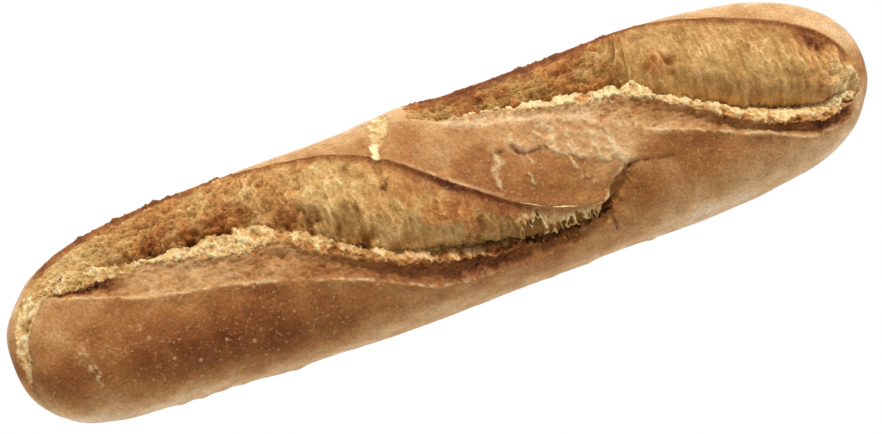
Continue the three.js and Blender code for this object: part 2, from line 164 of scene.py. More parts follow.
# The back burst.
BACK_BURST = {
    "ridge": [
        [-136, -78], [-60, -76], [-20, -66], [-3, -50], [12, -28], [25, -19], [40, -10], [64, 11],
        [83, 25], [101, 41], [110, 51.5], [123, 60], [136, 66],
    ],
    "torn": [
        [-136, -82], [-60, -80], [-20, -72], [0, -48], [8, -38], [20, -31], [36, -19], [52, -13],
        [65, -6], [80, 10.4], [88, 19.2], [98, 29.2], [107, 37.4], [118, 46], [126, 49], [136, 52],
    ],
    "crevice": [
        [-136, -86], [-60, -84], [-20, -76], [2, -44], [14, -37], [35, -30], [56, -24], [64, -20],
        [70, -7.5], [76, -2.5], [86, 8], [93, 16], [103, 23.5], [112, 30.5], [119, 35], [126, 38],
        [136, 46],
    ],
    "back": [
        [-136, -95], [-60, -92], [-20, -84], [-5, -74], [14, -70], [43, -71], [69, -69], [80, -58],
        [91, -45], [102, -36], [113, -27], [121, -18], [127, -4], [131, 12], [136, 20],
    ],
    "crevice_depth": [
        [0, 0], [14, 2], [30, 3.6], [40, 4.5], [60, 3.5], [67, 1.5], [76, 5.6], [92, 7],
        [105, 6], [114, 4.4], [121, 2.4], [126, 1.4], [133, 0],
    ],
    "slot_depth": [
        [0, 0], [14, 0.8], [40, 1.4], [60, 1.2], [67, 0.3], [76, 0.3], [115, 0.5], [126, 0.8], [133, 0],
    ],
    "wall_width": [[0, 3], [60, 5], [68, 4], [80, 7], [100, 8.5], [118, 7], [130, 4]],
    "bulge_height": [
        [-2, 0], [20, -1.2], [45, -1.2], [60, 0.3], [74, 2.4], [95, 3], [112, 2.8], [126, 1.2],
        [133, 0],
    ],
    "torn_height": [[2, 0], [12, 0.7], [40, 1.2], [62, 1.4], [75, 0.5], [90, 0.2], [128, 0]],
    "bridged": [[0, 0.7], [24, 0.6], [34, 0.2], [58, 0.2], [66, 0.6], [76, 0.1], [114, 0.1], [124, 0.8]],
    "ledge_depth": [[0, 0], [50, 0.3], [66, 1], [80, 2], [105, 2.6], [118, 1.6], [129, 0]],
    "ridge_lip": [[-4, 0], [30, 0.4], [60, 0.6], [80, 1], [112, 1.4], [124, 1], [132, 0]],
    "back_lip": [[-10, 0], [20, 0.6], [60, 0.8], [100, 1.2], [120, 1], [131, 0]],
    "torn_share": [[-2, 0], [5, 1], [127, 1], [131, 0]],
    "ledge_share": [[-2, 0], [8, 1], [122, 1], [127, 0]],
    "skin_share": [
        [0, 0.24], [44, 0.24], [62, 0.1], [72, -0.06], [110, -0.06], [118, 0.06], [126, 0.16], [132, 0.3],
    ],
    "skin_bake": [[0, 0.72], [44, 0.72], [60, 0.64], [80, 0.38], [110, 0.34], [118, 0.56], [130, 0.62]],
    # Bake under the torn lip, with painted shade, as in the front burst.
    "dark_ledge_and_shade": [[0, 0.3], [55, 0.3], [64, 0.46], [75, 0.46], [105, 0.5], [115, 0.76], [126, 0.86]],
    "light_ledge": [[0, 0.18], [60, 0.28], [80, 0.4], [105, 0.5], [120, 0.7]],
    "edge_tone": [[5, 1], [50, 1], [62, 0.88], [75, 0.92], [115, 0.88], [126, 0.74]],
    "low_tone": [[0, 0.46], [60, 0.52], [70, 0.66], [110, 0.66], [125, 0.7]],
    "high_tone": [
        [0, 0.54], [40, 0.56], [60, 0.56], [70, 0.48], [84, 0.42], [96, 0.42], [108, 0.34], [118, 0.36],
        [124, 0.56],
    ],
    "toast": [[0, 1], [44, 0.9], [60, 0.8], [66, 0.6], [76, 0.12], [112, 0.2], [119, 0.6], [124, 0.4]],
    "rough": [[0, 0.8], [60, 0.8], [74, 0.35], [116, 0.4], [121, 1], [130, 1]],
    "craggy": [[0, 0.8], [60, 1], [72, 0.6], [80, 0], [116, 0], [121, 0.9], [131, 0.7]],
    "edge_toast": [[0, 0.1], [60, 0.05], [76, 0.25], [110, 0.4], [122, 0.3]],
    "stretch": [[0, 0.8], [60, 1], [72, 3], [120, 3], [130, 1.5]],
    "flour": [[-4, 0.3], [20, 0.5], [60, 0.65], [112, 0.7], [120, 0.3], [130, 0]],
    "flour_width": [[-4, 1], [20, 1.6], [60, 1.8], [72, 0.8], [120, 0.6]],
    "line_width": [[0, 1.4], [60, 1.4], [74, 0.7], [120, 0.9], [130, 1.2]],
    "gloss": [[60, 0], [90, 0.4], [112, 1], [128, 1]],
}
# Where each burst's crumb lies along the loaf.
CRUMB_REACH = ((-127, 49), (-3, 132.4))

LIP_WIDTH = 2.6
LIP_UNDERCUT = 0.9
CREVICE_FRONT_WIDTH = 1.5
HINGE_ROUNDING = 0.25
SLOT_WIDTH = 0.7
# How deep a crevice slot must be for the painted shade at its bottom to be full.
SLOT_DEPTH_FULLY_SHADED = 1.5
TORN_WIDTH = 1.8
LEDGE_SKEW = 0.85
BULGE_SKEW = 0.75
LEAST_GAP = 1.6
# How far the crust sinks under the crumb, and how far the crumb runs on under the crust round it.
SINK = 1.5
TUCK = 0.9
CRUMB_THICKNESS = 2.5

# Grooves: [x, angle, half-width] along each. Torn ones have a tone, as they show crumb, and cracks are dark.
GROOVES = [
    {
        "depth": 1.5, "tone": 0.8,
        "path": [
            [-119, -44, 7], [-125, -38, 6], [-130, -22, 4], [-132.2, 4, 3], [-132.8, 24, 2.4],
            [-132.8, 40, 1.2],
        ],
    },
    {
        "depth": 1, "dark": 0.25,
        "path": [[-132.7, 38, 1.2], [-132.2, 62, 1.2], [-130.5, 84, 1], [-127, 100, 0.7]],
    },
    {
        "depth": 1.1, "tone": 0.88,
        "path": [
            [-9, -74, 2.6], [-9.6, -60, 3.4], [-11, -48, 3], [-14, -36, 1.3], [-15.6, -22, 1.2],
            [-16.6, -6, 0.5],
        ],
    },
    {
        "depth": 2.2, "tone": 0.4, "toast": 0.6,
        "path": [[43.5, 51, 2.2], [46.5, 44, 3], [48, 39, 3], [50, 34, 2.5], [52, 29.5, 1.9], [54, 26, 1]],
    },
    {
        "depth": 0.7, "dark": 0.6,
        "path": [[54, 26, 0.7], [57.4, 25, 0.6], [60, 26.5, 0.5], [63.6, 28, 0.45], [69.5, 30, 0.3]],
    },
    {"depth": 0.7, "dark": 0.5, "path": [[44.6, 52, 0.8], [45, 57, 0.7], [45.4, 64, 0.35]]},
    {
        "depth": 0.7, "dark": 0.95,
        "path": [[23.4, -4.4, 0.4], [25.9, 1, 0.6], [28.8, 0.5, 0.5], [32.6, 1.2, 0.4]],
    },
    {"depth": 0.6, "dark": 0.9, "path": [[16.6, -4.3, 0.4], [19.6, -4.2, 0.5], [22.6, -4.5, 0.4]]},
    {"depth": 0.8, "dark": 0.4, "path": [[-19.3, -4, 0.3], [-16, -8, 0.5], [-13.9, -12, 0.3]]},
]
# Raised pale wrinkles: [x, angle, half-width] along each.
WRINKLES = [
    [[17.2, -4.2, 0.8], [18.2, 1, 1.4], [15.8, 3.5, 1], [16, 10.2, 0.8], [15.6, 13.5, 0.5]],
    [[36.2, -6.8, 1], [36, -1.8, 1.6], [36.6, 2.2, 0.9]],
    [[33.9, 2.2, 0.7], [35.8, 5.8, 1.2], [37.2, 8.2, 0.7]],
    [[39.3, 3, 0.8], [39.5, 8, 1.1], [41.7, 11.8, 0.8]],
    [[38.2, 10, 0.5], [39, 15.2, 0.8], [39.5, 22, 0.5]],
    [[41.3, 23.2, 0.5], [42.8, 28, 0.5]],
    [[51.2, 4.2, 0.8], [51.6, 12.5, 1.3], [52.9, 20, 1.2], [53.9, 24.8, 0.7]],
    [[45, 5.2, 0.7], [47.3, 9.8, 1], [50.4, 13.5, 0.8]],
    [[44.2, -2.5, 0.7], [46.1, 1.2, 1.1], [49.1, 5.2, 0.7]],
    [[23.8, -9.2, 0.8], [25.7, -4.5, 0.9]],
    [[30.6, -8.2, 0.8], [32.5, -4, 0.8]],
    [[45, 11, 0.7], [46.9, 16.5, 1], [49.1, 19, 0.6]],
    [[44, 40, 0.5], [46.6, 34.5, 0.6], [49.4, 29, 0.6], [52.2, 25, 0.5]],
    [[26.1, 1.2, 0.5], [27.7, 7.2, 0.5]],
    [[25, 11.2, 0.4], [25.7, 16.8, 0.5]],
    [[-115.5, 17, 0.6], [-114.9, 25, 0.9], [-114.6, 34, 0.6]],
    [[-113.4, 27, 0.5], [-112.8, 36, 0.7], [-114, 45, 0.5]],
]
# Hollows and lumps: [x, angle, radius, height].
LUMPS = [
    [-87.7, -26, 3.2, -3.2], [-74.9, -23, 3.2, -3.2], [-66, -22.5, 3.6, -3.2], [-58, -24, 3, -2.6],
    [-81, -23, 2.6, 1.6], [-70.3, -21, 2.2, 1.4], [-61.6, -20.5, 2, 1.4], [-46.9, -6, 2.4, -2.4],
    [-38.4, -3, 2.2, -2.4], [-33.5, 4, 1.8, -1.6], [-26.3, 14.5, 2.2, -2.2], [-17.2, 24.5, 2.2, -1.8],
    [-8, 34, 2, -1.4], [3, 37.5, 2, -1], [-53.4, 6.5, 1.3, -1.5], [-51.4, 8, 1.1, -1.3],
    [-42, -14, 4, 1.4], [-30, -4, 3.4, 1.2], [-21, 8, 3.4, 1.2], [-61, -36, 4, 1.2], [-79, -34, 4, 1],
    [-83, -32, 2.6, 0.7], [-36, -18, 4, 1], [72.8, -24, 2.4, 2.6], [72.4, -17, 2.2, 3.4],
    [72.2, -10, 2, 2.6], [76, -20, 1.4, -2.4], [75.6, -13, 1.2, -2], [69.4, -22, 1.6, -1.6],
    [127, 20, 2, 0.8], [128.5, 32, 2, 0.7], [-93, 101, 1.8, 0.5], [-86, 102, 1.6, 0.5],
    [-80, 101, 1.6, 0.4], [-74, 102, 1.6, 0.5], [-57, 101, 2, 0.5], [24, 102, 1.8, 0.5],
    [35, 101, 1.6, 0.4], [56, 102, 2, 0.6],
]
# Patches of crumb that are more toasted (above 0) or paler: [x, angle, reach in mm, toast, tone].
CRUMB_PATCHES = [
    [-120, -29, 8, -1, 0.06], [-109, -42, 7, -1, 0.1], [-106, -27, 6, -1, 0.08],
    [-100, -34, 5, 0.3, -0.06], [-84, -31, 5, 0.6, -0.06], [-76, -36, 4, 0.5, -0.04],
    [-65, -31, 4.5, 0.5, -0.02], [-95, -38, 6, -0.5, 0.04], [-71, -42, 5, -0.5, 0.06],
    [-45, -13, 4.5, 0.6, -0.02], [-50, -23, 5, 0.4, 0], [-34, -12, 4, -0.6, 0.08],
    [-32, -24, 7, -0.6, 0.1], [-12, 2, 6, 0.3, 0], [-1, 6.2, 1.8, -1.2, 0.1],
    [72.6, -23, 3.2, 1.1, 0.14], [72.4, -15, 2.4, 1, 0.12], [62, -38, 5, -0.4, -0.04],
    [50, -58, 6, 0.6, -0.08], [22, -50, 7, 0.4, -0.12], [48.9, -19, 2.6, 1.2, -0.34],
    [118.4, -15, 3.4, 1, -0.2], [121.6, -6, 3, 1, -0.2], [128, 8, 2.4, 0.8, -0.1],
    [125.5, 24, 4, -0.4, 0.12], [125, 36, 4, -0.2, 0.08], [-128, -30, 3, 1, -0.12],
    [-126, -43, 3, 0.9, -0.1],
]
DOME = {"x": 28, "angle": 16, "half_length": 30, "half_angle": 16, "height": 1.4}
ROLLING = {"wavelength": 74, "height": 0.45}
# Relief and swells fade where less than this share of the section are left, so both tips close on one point.
LEAST_SHARE = 0.3
SWELL_FADE = 0.4


def power(base, exponent):
    return np.sign(base) * np.abs(base) ** exponent


def bell(distance, width):
    return np.exp(-((distance / width) ** 2))


def smooth_step(value, start, end):
    t = np.clip((value - start) / (end - start), 0, 1)
    return t * t * (3 - 2 * t)


def blend(share, a, b):
    return a + (b - a) * share


def line_through(points):
    """A smooth line through points that never swings past them, flat beyond its ends."""
    xs, ys = np.array(points, float).T
    steps = np.diff(ys) / np.diff(xs)
    before, after = np.r_[0, steps], np.r_[steps, 0]
    rising = before * after > 0
    slopes = np.where(rising, 2 * before * after / np.where(rising, before + after, 1), 0)

    def at(x):
        x = np.clip(x, xs[0], xs[-1])
        i = np.clip(np.searchsorted(xs, x, side="right") - 1, 0, len(xs) - 2)
        span = xs[i + 1] - xs[i]
        t = (x - xs[i]) / span
        u = 1 - t
        ends = ys[i] * (1 + 2 * t) * u * u + ys[i + 1] * t * t * (3 - 2 * t)
        return ends + span * (slopes[i] * t * u * u - slopes[i + 1] * t * t * u)

    return at


def fractal(x, y, z, octaves=3):
    """Fractal noise, about -1 to 1, at coordinates that are already divided by its wavelength."""
    x, y, z = np.broadcast_arrays(x, y, z)
    values = [noise.fractal(p, 1.0, 2.0, octaves) for p in zip(x.flat, y.flat, z.flat)]
    return np.array(values).reshape(x.shape)


def web(x, y, z, octaves=3):
    """Fine crossing threads: 1 along them, and down to -1 in the cells between."""
    return np.maximum(1 - 4 * np.abs(fractal(x, y, z, octaves)), -1)


def taper(x):
    """Share of the full section left at x: 1 over most of the loaf and 0 at its tips."""
    t = np.clip(np.abs(x) / (LENGTH / 2), 0, 1)
    return (1 - t ** TIP_POWER) ** (1 / TIP_ROUNDNESS)


front_swell = line_through(FRONT_SWELL)
back_swell = line_through(BACK_SWELL)


def smooth_loaf(x, angle):
    """The loaf before it bursts: points on its skin, the ways out from it, and the taper."""
    x, angle = np.broadcast_arrays(np.asarray(x, float), np.asarray(angle, float))
    share = taper(x)
    sine, cosine = np.sin(np.radians(angle)), np.cos(np.radians(angle))
    above = cosine >= 0
    squareness = np.where(above, UPPER_SQUARENESS, LOWER_SQUARENESS)
    half_height = np.where(above, HEIGHT - WIDEST_LEVEL, WIDEST_LEVEL * UNDERSIDE_REACH)
    swell = np.where(sine > 0, front_swell(x), back_swell(x)) * np.clip(share / SWELL_FADE, 0, 1)
    half_width = WIDTH / 2
    across = -power(sine, 2 / squareness)
    upward = power(cosine, 2 / squareness)
    point = np.stack(
        [x, (half_width * share + swell) * across, WIDEST_LEVEL + half_height * share * upward], -1)
    along = TIP_POWER / (LENGTH / 2) * power(2 * x / LENGTH, TIP_POWER - 1)
    inward = TIP_ROUNDNESS * share ** (TIP_ROUNDNESS - 1)
    outward = np.stack([
        along,
        inward * power(across, squareness - 1) / half_width,
        inward * power(upward, squareness - 1) / half_height,
    ], -1)
    outward /= np.maximum(np.linalg.norm(outward, axis=-1, keepdims=True), 1e-9)
    return point, outward, share


def distance_to_path(x, point, path):
    """Distance to a path of [x, angle, half-width], as a share of its half-width; far where it is far."""
    path = np.array(path, float)
    steps = np.linspace(0, len(path) - 1, 5 * len(path))
    path_x, angle, width = (np.interp(steps, np.arange(len(path)), path[:, i]) for i in range(3))
    spots, _, _ = smooth_loaf(path_x, angle)
    reach = 4 * width.max() + 6
    rows = (x[:, 0] > path_x.min() - reach) & (x[:, 0] < path_x.max() + reach)
    nearest = np.full(point.shape[:-1], 99.0)
    close = nearest[rows]
    place = point[rows]
    for start, end, w0, w1 in zip(spots[:-1], spots[1:], width[:-1], width[1:]):
        way = end - start
        t = np.clip((place - start) @ way / (way @ way), 0, 1)
        apart = np.linalg.norm(place - start - t[..., None] * way, axis=-1)
        close = np.minimum(close, apart / (w0 + (w1 - w0) * t))
    nearest[rows] = close
    return nearest


def lines_of(burst):
    return {name: line_through(points) for name, points in burst.items()}


BURSTS = (lines_of(FRONT_BURST), lines_of(BACK_BURST))
# How far each skin line strays, in millimetres: over a few millimetres, and within one.
RAGGED = {"ridge": (0.5, 0.2), "torn": (1.0, 0.9), "crevice": (1.0, 0.9), "back": (0.5, 0.08)}
LINE_SEEDS = (1.0, 41.0)


def ragged_line(burst, name, x, skin_width, seed):
    """A skin line with the wander of torn bread, in degrees at each x."""
    slow, quick = RAGGED[name]
    stray = slow * fractal(x / 9, seed, 0.3, 2) + quick * fractal(x / 1.6, seed, 7.7, 2)
    return burst[name](x) + stray / skin_width


def hinge(run):
    """1 - run up to run = 1 and 0 past it, with the corner rounded."""
    left = 1 - run
    rounded = (left + HINGE_ROUNDING) ** 2 / (4 * HINGE_ROUNDING)
    return np.where(np.abs(left) >= HINGE_ROUNDING, np.maximum(left, 0), rounded)


def burst_relief(burst, x, angle, skin_width, seed):
    """Height of one burst's relief, and the fields that say what each place in it is."""
    ridge, torn, crevice, back = (
        ragged_line(burst, name, x, skin_width, seed + i * 3.1) for i, name in enumerate(RAGGED))
    past_ridge = (angle - ridge) * skin_width
    past_torn = (angle - torn) * skin_width
    past_crevice = (angle - crevice) * skin_width
    past_back = (angle - back) * skin_width
    at = {name: burst[name](x) for name in burst if name not in RAGGED}

    uneven = 1 + 0.9 * fractal(x / 3, seed + 5.5, 2.2, 3)
    nicked = 1 + 1.4 * np.minimum(fractal(x / 7, seed + 8.5, 4.4, 4), 0.1)
    lip = np.where(past_ridge > 0, LIP_WIDTH, LIP_UNDERCUT)
    height = at["ridge_lip"] * nicked * bell(past_ridge, lip)
    height += at["back_lip"] * bell(past_back, np.where(past_back < 0, LIP_WIDTH, LIP_UNDERCUT))
    height += at["torn_height"] * uneven * bell(past_torn, TORN_WIDTH)
    steep = np.exp(-(np.maximum(past_crevice, 0) / CREVICE_FRONT_WIDTH) ** 1.5)
    open_share = 1 - at["bridged"] * smooth_step(fractal(x / 4.5, seed + 12.5, 6.6, 2), -0.25, 0.25)
    deep = open_share * at["crevice_depth"]
    height -= deep * steep * hinge(np.maximum(-past_crevice, 0) / at["wall_width"])
    slot = open_share * np.clip(uneven, 0, 1.6) * bell(past_crevice, SLOT_WIDTH)
    height -= at["slot_depth"] * slot
    down_ledge = np.clip((angle - torn) / np.maximum(ridge - torn, LEAST_GAP), 0, 1)
    height -= at["ledge_depth"] * np.sin(np.pi * down_ledge ** LEDGE_SKEW)
    up_bulge = np.clip((crevice - angle) / np.maximum(crevice - back, LEAST_GAP), 0, 1)
    height += at["bulge_height"] * np.sin(np.pi * up_bulge ** BULGE_SKEW)

    share = at["torn_share"]
    fields = {
        "ledge": at["ledge_share"] * smooth_step(past_torn, -0.2, 0.4) * smooth_step(-past_ridge, -0.2, 0.4),
        "down_ledge": down_ledge,
        "edge": share * smooth_step(past_crevice, -0.3, 0.3) * smooth_step(-past_torn, -0.3, 0.2),
        "bulge": share * smooth_step(-past_crevice, -0.3, 0.3) * smooth_step(past_back, -0.1, 0.3),
        "inside": share * smooth_step(-past_torn, -0.1, 0.4) * smooth_step(past_back, -0.1, 0.4),
        # Painted shade at the bottom of the crevice slot, fuller the deeper it is.
        "slot": np.clip(at["slot_depth"] / SLOT_DEPTH_FULLY_SHADED, 0, 1) * slot,
        "flour": at["flour"] * bell(past_ridge + 0.1, at["flour_width"]),
        "edge_line": share * bell(past_back, at["line_width"]),
        "past_back": past_back,
        "up_bulge": up_bulge,
        "up_edge": np.clip((torn - angle) / np.maximum(torn - crevice, LEAST_GAP), 0, 1),
        "shreds": share * np.maximum(bell(past_torn + 0.4, 0.9), 0.6 * bell(past_crevice - 0.8, 0.8)),
    }
    for name in ("dark_ledge_and_shade", "light_ledge", "low_tone", "high_tone", "edge_tone", "skin_share",
                 "skin_bake", "gloss", "toast", "edge_toast", "rough", "craggy", "stretch"):
        fields[name] = at[name] + 0 * angle
    return height, fields


# How brown the crust is at each angle, then patches: [x, angle, reach along x, reach in degrees, change].
BAKE_ROUND = [
    [-180, 0.34], [-110, 0.12], [-85, 0.1], [-60, 0.22], [-20, 0.38], [10, 0.46], [35, 0.48], [60, 0.42],
    [76, 0.32], [92, 0.24], [115, 0.19], [180, 0.34],
]
BAKE_PATCHES = [
    [-72, 46, 46, 30, 0.22], [-112, 58, 14, 24, -0.1], [-122, 32, 9, 12, 0.1], [-95, 46, 16, 18, 0.07],
    [84, 66, 46, 18, -0.07], [-112, 88, 26, 18, -0.1], [76, 24, 22, 9, 0.09], [30, 20, 24, 15, 0.04],
    [-5, -20, 26, 24, 0.1], [-15, -50, 16, 20, 0.04], [124, -20, 12, 26, -0.14], [130, 50, 8, 22, -0.18],
    [130, -12, 7, 22, -0.16], [-5, -45, 60, 26, 0.05], [80, 84, 40, 22, -0.12], [-70, 88, 60, 20, -0.05],
    [52, 20, 5, 9, -0.24], [44, 30, 7, 12, -0.12], [-40, 42, 14, 12, -0.08], [92, 50, 40, 12, -0.03],
]
# The fold line, [x, angle]: the crust between the cuts is smooth below it, and wrinkles fan out above it.
FOLD = [
    [-12, -10], [3.4, -15], [13, -8.8], [16.6, -4], [22.4, -4.2], [25.6, 0.8], [32, 1.2], [35.3, 6.5],
    [41, 13], [46.3, 17.5], [52.6, 21], [60, 26],
]
WRINKLE_HEAD = (52, 24)
# Bread colours, 0 to 255, at shares of the way from pale to burnt, and from dark to light.
CRUST_COLOURS = {
    0.0: (242, 214, 182), 0.25: (210, 165, 113), 0.5: (162, 106, 55), 0.75: (116, 61, 28),
    1.0: (62, 26, 12),
}
CRUMB_COLOURS = {
    0.0: (84, 52, 22), 0.3: (146, 102, 50), 0.55: (194, 150, 88), 0.8: (224, 186, 126), 1.0: (246, 224, 170),
}
TOAST_COLOURS = {
    0.0: (78, 40, 18), 0.3: (138, 80, 38), 0.55: (186, 122, 64), 0.8: (218, 162, 98), 1.0: (242, 208, 148),
}
FLOUR_COLOUR = (232, 202, 156)
# Dark colour of cracks, also painted as shade at the bottom of the crevice slots.
CRACK_AND_SLOT_SHADE_COLOUR = (84, 50, 28)
PALE_FLECK_COLOUR = (220, 176, 122)
DARK_FLECK_COLOUR = (124, 76, 40)
BLISTER_COLOUR = (214, 168, 122)
# How rough the bread is, how much less so where it has gloss, and how strongly it reflects.
ROUGHNESS = 0.62
GLOSS_CHANGE = 0.34
SPECULAR = 0.12


def colour_along(colours, share):
    places = list(colours)
    return np.stack([np.interp(share, places, [c[i] for c in colours.values()]) for i in range(3)], -1)


def linear(colour):
    """Screen colours, 0 to 255, as the linear colours that the shaders use."""
    value = np.clip(np.asarray(colour, float) / 255, 0, 1)
    return np.where(value <= 0.04045, value / 12.92, ((value + 0.055) / 1.055) ** 2.4)


def nearness(place, spots):
    """For each spot of [x, angle, reach, ...], how near each place is to it, 0 to 1, and its rest."""
    for x, angle, reach, *rest in spots:
        centre, _, _ = smooth_loaf(x, angle)
        yield bell(np.linalg.norm(place - centre, axis=-1), reach), rest


def surface(x, angle, crumb_of=None):
    """Points and fields of the baked surface. crumb_of is the burst whose crumb this is, if any."""
    smooth, outward, share = smooth_loaf(x, angle)
    skin_width = np.radians(1) * WIDTH / 2 * np.maximum(share, LEAST_SHARE)
    here = SimpleNamespace(x=x, angle=angle, smooth=smooth, skin_width=skin_width, across=angle * skin_width)
    px, py, pz = np.moveaxis(smooth, -1, 0)
    here.lumps = fractal(px / 6, py / 6, pz / 6, 3)
    here.grit = fractal(px / 1.9, py / 1.9, pz / 1.9, 3)
    here.soft = fractal(px / 22, py / 22, pz / 22, 2)
    here.blotches = fractal(px / 10, py / 10, pz / 10 + 50, 3)

    reliefs = [burst_relief(burst, x, angle, skin_width, seed) for burst, seed in zip(BURSTS, LINE_SEEDS)]
    height = reliefs[0][0] + reliefs[1][0]
    height += DOME["height"] * bell(x - DOME["x"], DOME["half_length"]) * bell(
        angle - DOME["angle"], DOME["half_angle"])
    turn = 2 * np.pi * smooth / ROLLING["wavelength"]
    sx, sy, sz = (np.sin(turn[..., i]) for i in range(3))
    cx, cy, cz = (np.cos(turn[..., i]) for i in range(3))
    height += ROLLING["height"] * (sx * cy + sy * cz + sz * cx) / 1.5
    # Hollows also carry painted shade in the crumb, darker and redder the deeper they are.
    here.hollow = 0
    for near, (size,) in nearness(smooth, LUMPS):
        height += size * near * (1 + 0.4 * here.grit)
        here.hollow = here.hollow + np.maximum(-size, 0) / 2.5 * near

    # Cracks wander a little from their paths.
    wander = smooth + 0.9 * np.stack([here.grit, 0 * px, fractal(px / 2.6, py / 2.6, pz / 2.6 + 9, 2)], -1)
    here.torn_groove = here.groove_tone = here.groove_toast = here.crack = 0 * px
    for groove in GROOVES:
        near = distance_to_path(x, wander, groove["path"]) * (1 + 0.35 * here.lumps)
        height -= groove["depth"] * bell(near, 1)
        inside = ("tone" in groove) * (1 - smooth_step(near, 0.8, 1.0))
        here.torn_groove = np.maximum(here.torn_groove, inside)
        here.groove_tone = np.maximum(here.groove_tone, inside * groove.get("tone", 0))
        here.groove_toast = np.maximum(here.groove_toast, inside * groove.get("toast", 0))
        here.crack = np.maximum(here.crack, groove.get("dark", 0) * bell(near, 0.9))
    here.wander = wander

    if crumb_of is None:
        height, fields = crust_surface(here, height, reliefs[0][1], reliefs[1][1])
    else:
        height, fields = crumb_surface(here, height, reliefs[crumb_of][1], crumb_of)
    height = height * np.clip(share / LEAST_SHARE, 0, 1)
    point = smooth + outward * height[..., None]
    point[..., 2] = np.maximum(point[..., 2], 0)
    return point, outward, fields


def crust_surface(here, height, front, back):
    """The crust with its ledges, wrinkles and cracks, sunk where the crumb lies over it."""
    x, angle, lumps, grit, blotches = here.x, here.angle, here.lumps, here.grit, here.blotches
    inside = np.maximum(front["inside"], back["inside"])
    ledge = np.maximum(front["ledge"], back["ledge"])
    torn = here.torn_groove
    height = height - SINK * inside
    streaks = fractal(x / 9, here.across, 3.0, 3)
    # Pits in the ledges, sunk and darkened with painted shade.
    shaded_pits = ledge * smooth_step(fractal(x / 1.4, here.across / 1.2, 13.0, 2), 0.3, 0.5)
    shaded_pits = shaded_pits * smooth_step(blotches, 0.15, 0.4)
    crumbly = web(x / 2.4, here.across / 1.5, 17.0 + 0.2 * lumps, 3)
    height += ledge * (0.14 * streaks + 0.24 * grit + 0.5 * lumps + 0.3 * crumbly - 0.4 * shaded_pits)
    height += torn * (0.5 * lumps + 0.4 * grit)
    height += (1 - torn) * (0.06 * grit + 0.2 * here.soft + 0.12 * blotches)

    # Below its fold line the middle of the crust is a smooth brown dome. Above it, pale wrinkles fan out.
    past_fold = (angle - line_through(FOLD)(x)) * here.skin_width + 2.2 * lumps + 0.5 * grit
    along_fold = smooth_step(x + 5 * blotches, -16, 12) * (1 - smooth_step(x, 54, 60))
    middle = along_fold * (1 - inside) * (1 - ledge)
    softness = blend(smooth_step(x, 4, 24), 6.0, 1.8)
    below_fold = middle * smooth_step(past_fold, -softness, softness)
    height -= middle * 0.4 * bell(past_fold - 0.8, 1.2)
    head_x, head_angle = WRINKLE_HEAD
    away_x, away_up = head_x - x, (head_angle - angle) * here.skin_width
    around = np.arctan2(away_up, away_x) * 7 + 0.5 * lumps
    fan_line = bell(fractal(around, np.hypot(away_x, away_up) / 7, 9.0, 3), 0.26)
    fan_place = middle * (1 - 0.8 * below_fold) * bell(x - 38, 24) * bell(angle + 3, 18)
    wrinkle = 0 * x
    for path in WRINKLES:
        near = distance_to_path(x, here.wander, path) * (1 + 0.6 * lumps)
        wrinkle = np.maximum(wrinkle, bell(near, 1) * smooth_step(blotches + grit, -0.9, -0.1))
    height += fan_place * 0.6 * fan_line + 0.7 * wrinkle

    bake = line_through(BAKE_ROUND)(angle)
    for at_x, at_angle, reach_x, reach_angle, amount in BAKE_PATCHES:
        bake += amount * np.exp(-(((x - at_x) / reach_x) ** 2 + ((angle - at_angle) / reach_angle) ** 2))
    bake = bake + 0.08 * here.soft + 0.07 * lumps + 0.02 * grit + 0.08 * blotches
    bake = bake - 0.08 * middle * (1 - below_fold) + 0.06 * below_fold
    for at in (front, back):
        # Each ledge is darkest just under its torn lip, from its own bake and painted shade, and lighter
        # towards its ridge.
        down = at["down_ledge"] + 0.3 * lumps + 0.12 * grit
        shade = blend(smooth_step(down, 0.3, 0.7), at["dark_ledge_and_shade"], at["light_ledge"])
        shade = blend(smooth_step(down, 0, 0.12), np.minimum(shade, 0.52), shade)
        shade = shade + 0.08 * streaks + 0.06 * grit + 0.1 * blotches - 0.05 * crumbly
        bake = blend(at["ledge"], bake, shade)
        line = at["edge_line"] * (1 - at["ledge"])
        bake = bake + blend(smooth_step(x, -14, -6) * (at is front), 0.34, 0.0) * line
    # Painted shade in the ledge pits.
    bake = bake + 0.22 * shaded_pits
    colour = colour_along(CRUST_COLOURS, bake)
    flour = np.maximum(front["flour"], back["flour"]) * smooth_step(grit + lumps, -0.5, 0.3)
    flour = np.maximum(flour, fan_place * 0.8 * fan_line * smooth_step(lumps + grit, -0.5, 0.3))
    over_band = bell(front["past_back"] + 0.8, 0.8) * bell(x - 4, 16)
    flour = np.maximum(flour, 0.6 * over_band * smooth_step(grit + lumps, -0.6, 0.2))
    flour = np.maximum(flour, 0.85 * wrinkle * smooth_step(lumps + grit, -0.9, 0.1))
    colour = blend(flour[..., None], colour, np.array(FLOUR_COLOUR, float))
    crumb = np.maximum(inside, torn)
    mixed = (1 - here.groove_toast) * (0.45 * grit + 0.35 * lumps)
    tone = blend(torn, 0.3, here.groove_tone + mixed)
    inner = blend(
        here.groove_toast[..., None], colour_along(CRUMB_COLOURS, tone), colour_along(TOAST_COLOURS, tone))
    colour = blend(crumb[..., None], colour, inner)
    colour = blend(here.crack[..., None], colour, np.array(CRACK_AND_SLOT_SHADE_COLOUR, float))
    fields = {
        "colour": colour,
        "crumb": np.maximum(crumb, 0.4 * ledge),
        "gloss": np.maximum(front["ledge"] * front["gloss"], back["ledge"] * back["gloss"]),
        "specks": front["ledge"] * bell(x + 80, 34),
        "blisters": (1 - crumb) * (1 - ledge) * bell(x + 76, 48) * bell(angle - 44, 36),
    }
    return height, fields


EDGE_ROUGHNESS = 1.4
